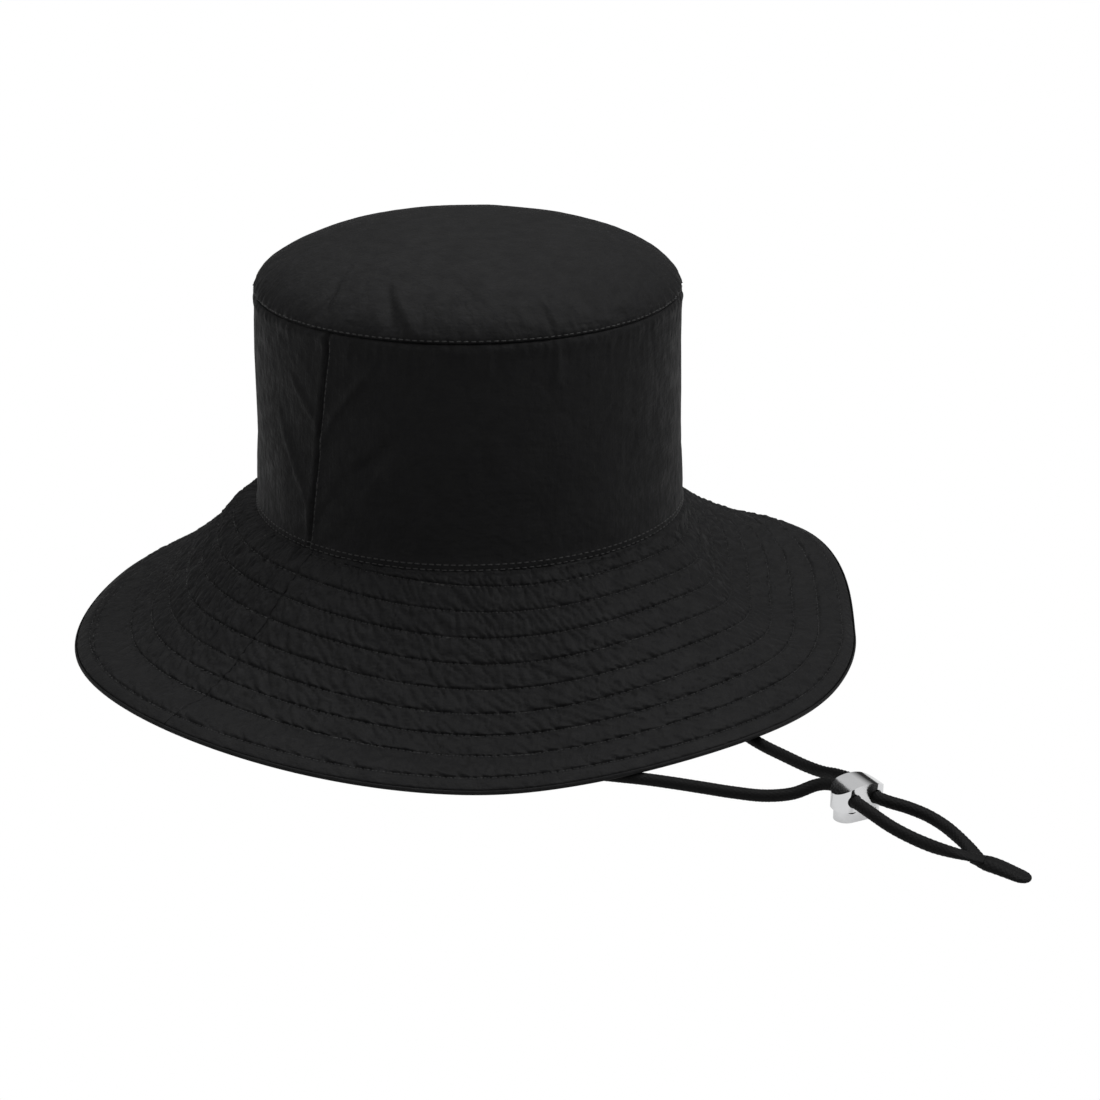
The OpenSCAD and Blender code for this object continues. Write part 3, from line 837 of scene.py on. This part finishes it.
def sweatband_in(theta, v):
    """Inner face of the sweatband; v runs up it, and round its folded top."""
    high = CROWN_BASE_Z - 1 + np.minimum(v, SWEATBAND_H - 0.5)
    roll = np.clip((v - (SWEATBAND_H - 0.5)) / 0.5, 0, np.pi)
    around = np.radians(theta) * 90
    r = 91.3 - 2 * (np.minimum(v, SWEATBAND_H)) / 95.5 - SWEATBAND_T
    pucker = 0.10 * fine_noise(around / 3.0, v / 6.0, 90.0) * smooth_step(SWEATBAND_H - v, 0, 4)
    row = sum(0.18 * np.exp(-(((v - place) / 0.7) ** 2)) for place in SWEATBAND_ROWS)
    return on_circle(theta, r + row + pucker + 0.45 * (1 - np.cos(roll)), high + 0.5 * np.sin(roll))


def make_sweatband(cloth, thread):
    name = "sweatband_cloth"
    v = np.concatenate([np.arange(0, 31, 0.75), 31.5 + 0.5 * np.linspace(0, 3.1, 8)])
    band = sheet_mesh(name, sweatband_in, np.arange(0, 360, 0.75), v, wrap=True, flip=True)
    add_sheet(name, band, BAND_CLOTH_T, "sweatband", cloth)
    rows = [(sweatband_in, level_path(height), -1) for height in SWEATBAND_ROWS]
    add_stitches("sweatband_stitching", rows, thread, slot="sweatband_cloth", lift=0.05)


def label_face(x, z):
    """The blank label: it bows a little, and its sewn foot waves."""
    length = LABEL_TOP_Z - LABEL_Z
    y = LABEL_Y - 0.25 * np.sin((z - LABEL_Z) / length * np.pi)
    y = y - 0.12 * np.sin(x / 5.0) * (LABEL_TOP_Z - z) / length
    return np.stack([x, y + 0 * z, z + 0 * x], -1)


def make_label(material, thread):
    name = "care_label_blank"
    across = np.linspace(-LABEL_HALF_W, LABEL_HALF_W, 24)
    label = sheet_mesh(name, label_face, across, np.linspace(LABEL_Z, LABEL_TOP_Z, 30))
    add_sheet(name, label, LABEL_T, "care_label", material)
    row = (label_face, level_path(LABEL_Z + 1.2, 1 - LABEL_HALF_W, LABEL_HALF_W - 1), 1)
    add_stitches("care_label_stitching", [row], thread, slot="label_cloth", pitch=2.5, radius=0.15)


# ---- materials ----

class Nodes:
    """Short way to add nodes to a material and join them."""

    def __init__(self, name):
        self.material = bpy.data.materials.new(name)
        self.material.use_nodes = True
        self.tree = self.material.node_tree
        self.shader = self.tree.nodes["Principled BSDF"]
        self.place = self.add("ShaderNodeTexCoord").outputs["Object"]

    def add(self, kind, inputs=None, **settings):
        node = self.tree.nodes.new(kind)
        for key, value in settings.items():
            setattr(node, key, value)
        for key, value in (inputs or {}).items():
            if isinstance(value, bpy.types.NodeSocket):
                self.tree.links.new(value, node.inputs[key])
            else:
                node.inputs[key].default_value = value
        return node

    def math(self, operation, a, b):
        return self.add("ShaderNodeMath", {0: a, 1: b}, operation=operation).outputs[0]

    def noise(self, scale, detail=2.0, roughness=0.5, stretch=None):
        place = self.place
        if stretch:
            scaled = self.add("ShaderNodeVectorMath", {0: place, 1: stretch}, operation="MULTIPLY")
            place = scaled.outputs[0]
        inputs = {"Vector": place, "Scale": scale, "Detail": detail, "Roughness": roughness}
        return self.add("ShaderNodeTexNoise", inputs).outputs["Fac"]

    def ramp(self, value, low, high, out_low=0.0, out_high=1.0):
        inputs = {0: value, 1: low, 2: high, 3: out_low, 4: out_high}
        return self.add("ShaderNodeMapRange", inputs).outputs[0]

    def colour(self, value, dark, light):
        mix = self.add("ShaderNodeMix", {0: value, 6: (*dark, 1), 7: (*light, 1)}, data_type="RGBA")
        return mix.outputs[2]

    def finish(self, colour, roughness, height, depth, **fixed):
        sockets = self.shader.inputs
        bump = self.add("ShaderNodeBump", {"Height": height, "Strength": 1.0, "Distance": depth})
        self.tree.links.new(colour, sockets["Base Color"])
        self.tree.links.new(roughness, sockets["Roughness"])
        self.tree.links.new(bump.outputs[0], sockets["Normal"])
        for key, value in fixed.items():
            sockets[key.replace("_", " ")].default_value = value
        return self.material


def crinkled_nylon(name, dark, light, depth=0.0004):
    """Thin washed nylon: crinkles a few millimetres across, over a fine plain weave."""
    n = Nodes(name)
    bumps = n.add("ShaderNodeTexVoronoi", {"Vector": n.place, "Scale": 330.0}, feature="SMOOTH_F1")
    crease = n.ramp(n.noise(260, 4.0, 0.6), 0.35, 0.65)
    slub_a = n.noise(900, 2.0, 0.5, (1.0, 1.0, 0.08))
    slub_b = n.noise(900, 2.0, 0.5, (0.12, 0.12, 1.0))
    weave = n.math("ADD", slub_a, slub_b)
    height = n.math("ADD", n.math("MULTIPLY", bumps.outputs[0], 0.5), n.math("MULTIPLY", crease, 0.6))
    height = n.math("ADD", height, n.math("MULTIPLY", weave, 0.4))
    tone = n.math("ADD", n.math("MULTIPLY", n.noise(40, 3.0), 0.6), n.math("MULTIPLY", weave, 0.2))
    rough = n.ramp(n.noise(150, 2.0), 0.3, 0.7, 0.58, 0.72)
    return n.finish(n.colour(tone, dark, light), rough, height, depth, Specular_IOR_Level=0.1)


def plain_cloth(name, dark, light, scale, roughness=0.75, depth=0.0001):
    """Plain weave, finer with a larger scale."""
    n = Nodes(name)
    warp = n.noise(scale, 1.0, 0.5, (1.0, 1.0, 0.15))
    weft = n.noise(scale, 1.0, 0.5, (0.2, 0.2, 1.0))
    weave = n.math("ADD", warp, weft)
    tone = n.math("MULTIPLY", n.math("ADD", weave, n.noise(30, 3.0)), 0.4)
    rough = n.ramp(weave, 0.6, 1.4, roughness - 0.08, roughness + 0.08)
    return n.finish(n.colour(tone, dark, light), rough, weave, depth, Specular_IOR_Level=0.3)


def cord_braid(name, dark, light):
    """The fibres of a cord, whose strands are in its mesh."""
    n = Nodes(name)
    fibres = n.noise(2200, 2.0, 0.6)
    tone = n.math("MULTIPLY", n.math("ADD", n.noise(500, 2.0), fibres), 0.5)
    rough = n.ramp(fibres, 0.3, 0.7, 0.5, 0.7)
    return n.finish(n.colour(tone, dark, light), rough, fibres, 0.00008, Specular_IOR_Level=0.12)


def metal(name, dark, light, low, high):
    """Metal whose roughness wanders between low and high."""
    n = Nodes(name)
    haze = n.noise(90, 3.0, 0.6)
    rough = n.ramp(haze, 0.3, 0.7, low, high)
    ripple = n.noise(140, 1.0, 0.4)
    return n.finish(n.colour(haze, dark, light), rough, ripple, 0.00003, Metallic=1.0)


def make_materials():
    return {
        "nylon": crinkled_nylon("crinkled nylon", (0.0045, 0.0045, 0.0048), (0.009, 0.009, 0.0093)),
        "thread": plain_cloth("thread", (0.010, 0.010, 0.010), (0.022, 0.022, 0.022), 2500, 0.45, 0.00002),
        "lining": plain_cloth("lining", (0.012, 0.012, 0.013), (0.022, 0.022, 0.023), 1400, 0.5),
        "band": plain_cloth("sweatband", (0.009, 0.009, 0.010), (0.018, 0.018, 0.019), 900, 0.8),
        "stiffener": plain_cloth("stiffener", (0.02, 0.02, 0.02), (0.035, 0.035, 0.034), 500, 0.9),
        "label": plain_cloth("label", (0.62, 0.62, 0.6), (0.75, 0.75, 0.73), 1100, 0.6),
        "cord": cord_braid("cord", (0.001, 0.001, 0.0011), (0.0035, 0.0035, 0.0037)),
        "chrome": metal("chrome", (0.72, 0.73, 0.74), (0.86, 0.86, 0.87), 0.05, 0.12),
        "steel": metal("spring steel", (0.42, 0.42, 0.43), (0.6, 0.6, 0.61), 0.2, 0.35),
    }


# ---- camera, floor and light ----

# The camera's place in metres and its direction, fitted to the photograph's view.
CAMERA_AT, CAMERA_LENS = (-0.7637, -0.7375, 0.4419), 83.7
CAMERA_YAW, CAMERA_PITCH = np.radians(-47.89), np.radians(20.86)
# Half the floor's side in metres, its grey, and how white it is in a mirror.
FLOOR_HALF, FLOOR_GREY, FLOOR_GLEAM = 4.0, 0.45, 0.5
SUN_ANGLE = np.radians(35)


def make_camera():
    camera = bpy.data.objects.new("camera", bpy.data.cameras.new("camera"))
    bpy.context.scene.collection.objects.link(camera)
    camera.location = CAMERA_AT
    yaw, pitch = CAMERA_YAW, CAMERA_PITCH
    back = Vector((np.sin(yaw) * np.cos(pitch), -np.cos(yaw) * np.cos(pitch), np.sin(pitch)))
    right = Vector((np.cos(yaw), np.sin(yaw), 0))
    up = back.cross(right)
    camera.rotation_euler = Matrix((right, up, back)).transposed().to_euler()
    camera.data.lens = CAMERA_LENS
    camera.data.sensor_width = 36
    bpy.context.scene.camera = camera


def floor_material():
    """White to the camera, half as bright in the lock's mirror, and pale grey to all other light."""
    material = bpy.data.materials.new("floor")
    material.use_nodes = True
    tree = material.node_tree
    paper = tree.nodes["Principled BSDF"]
    paper.inputs["Base Color"].default_value = (FLOOR_GREY, FLOOR_GREY, FLOOR_GREY, 1)
    paper.inputs["Roughness"].default_value = 0.9
    white = tree.nodes.new("ShaderNodeEmission")
    white.inputs["Strength"].default_value = 1.0
    seen = tree.nodes.new("ShaderNodeLightPath")
    share = tree.nodes.new("ShaderNodeMath")
    share.operation = "MULTIPLY_ADD"
    share.inputs[1].default_value = FLOOR_GLEAM
    mix = tree.nodes.new("ShaderNodeMixShader")
    tree.links.new(seen.outputs["Is Glossy Ray"], share.inputs[0])
    tree.links.new(seen.outputs["Is Camera Ray"], share.inputs[2])
    tree.links.new(share.outputs[0], mix.inputs[0])
    tree.links.new(paper.outputs[0], mix.inputs[1])
    tree.links.new(white.outputs[0], mix.inputs[2])
    tree.links.new(mix.outputs[0], tree.nodes["Material Output"].inputs["Surface"])
    return material


def make_floor():
    mesh = bpy.data.meshes.new("floor")
    corners = [(x * FLOOR_HALF, y * FLOOR_HALF, 0) for x, y in ((-1, -1), (1, -1), (1, 1), (-1, 1))]
    mesh.from_pydata(corners, [], [(0, 1, 2, 3)])
    mesh.materials.append(floor_material())
    floor = bpy.data.objects.new("floor", mesh)
    bpy.context.scene.collection.objects.link(floor)


def make_sky(tree):
    """Room light that is dim near the floor and brighter overhead."""
    place = tree.nodes.new("ShaderNodeTexCoord")
    split = tree.nodes.new("ShaderNodeSeparateXYZ")
    fade = tree.nodes.new("ShaderNodeMapRange")
    for name, value in (("From Min", 0.2), ("From Max", 0.45), ("To Min", 0.03), ("To Max", 0.6)):
        fade.inputs[name].default_value = value
    tree.links.new(place.outputs["Generated"], split.inputs[0])
    tree.links.new(split.outputs["Z"], fade.inputs["Value"])
    tree.links.new(fade.outputs[0], tree.nodes["Background"].inputs["Strength"])


def wide_sun(name, direction, strength):
    """Even soft light that comes from a direction, over the whole floor."""
    light = bpy.data.lights.new(name, "SUN")
    light.energy = strength
    light.angle = SUN_ANGLE
    obj = bpy.data.objects.new(name, light)
    obj.rotation_euler = Vector(direction).to_track_quat("Z", "Y").to_euler()
    bpy.context.scene.collection.objects.link(obj)


def make_lights():
    scene = bpy.context.scene
    scene.view_settings.view_transform = "Standard"
    world = bpy.data.worlds.new("studio")
    world.use_nodes = True
    world.node_tree.nodes["Background"].inputs["Color"].default_value = (1, 1, 1, 1)
    make_sky(world.node_tree)
    scene.world = world
    wide_sun("key", (0.7, -1.1, 1.25), 1.7)
    wide_sun("top", (0.2, 0.3, 1.9), 1.3)
    wide_sun("left", (-1.2, 0.9, 0.9), 0.4)


# ---- everything together ----

def make_cords(cord_paint):
    """The sewn end first, then the two cords."""
    name = "cord_end_sewn"
    end = add_object(name, cord_end_mesh(name), cord_paint, replaces=["cord_end"])
    make_cord("chin_cord_braid_right", RIGHT_ROUTE, "chin_cord_right", cord_paint)
    make_cord("chin_cord_braid_left", LEFT_ROUTE, "chin_cord_left", cord_paint)


def finish_lock(shell, plunger, spring, chrome, steel):
    """Rounded edges and paint for the lock's own CAD solids."""
    soften_edges(shell, SHELL_ROUND)
    soften_edges(plunger, PLUNGER_ROUND)
    for node, material in ((shell, chrome), (plunger, chrome), (spring, steel)):
        node.data.materials.clear()
        node.data.materials.append(material)


def main():
    make_camera()
    paint = make_materials()
    lock = [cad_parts[name] for name in ("lock_shell", "lock_plunger", "lock_spring")]
    make_cords(paint["cord"])
    for half, word in HALVES:
        make_brim(half, word, paint["nylon"], paint["stiffener"])
    make_crown(paint["nylon"], paint["lining"])
    make_stitching(paint["thread"])
    make_sweatband(paint["band"], paint["thread"])
    make_label(paint["label"], paint["thread"])
    for word, side in (("left", 1), ("right", -1)):
        make_tab(word, side, paint["nylon"], paint["thread"])
    finish_lock(*lock, paint["chrome"], paint["steel"])
    make_floor()
    make_lights()


main()
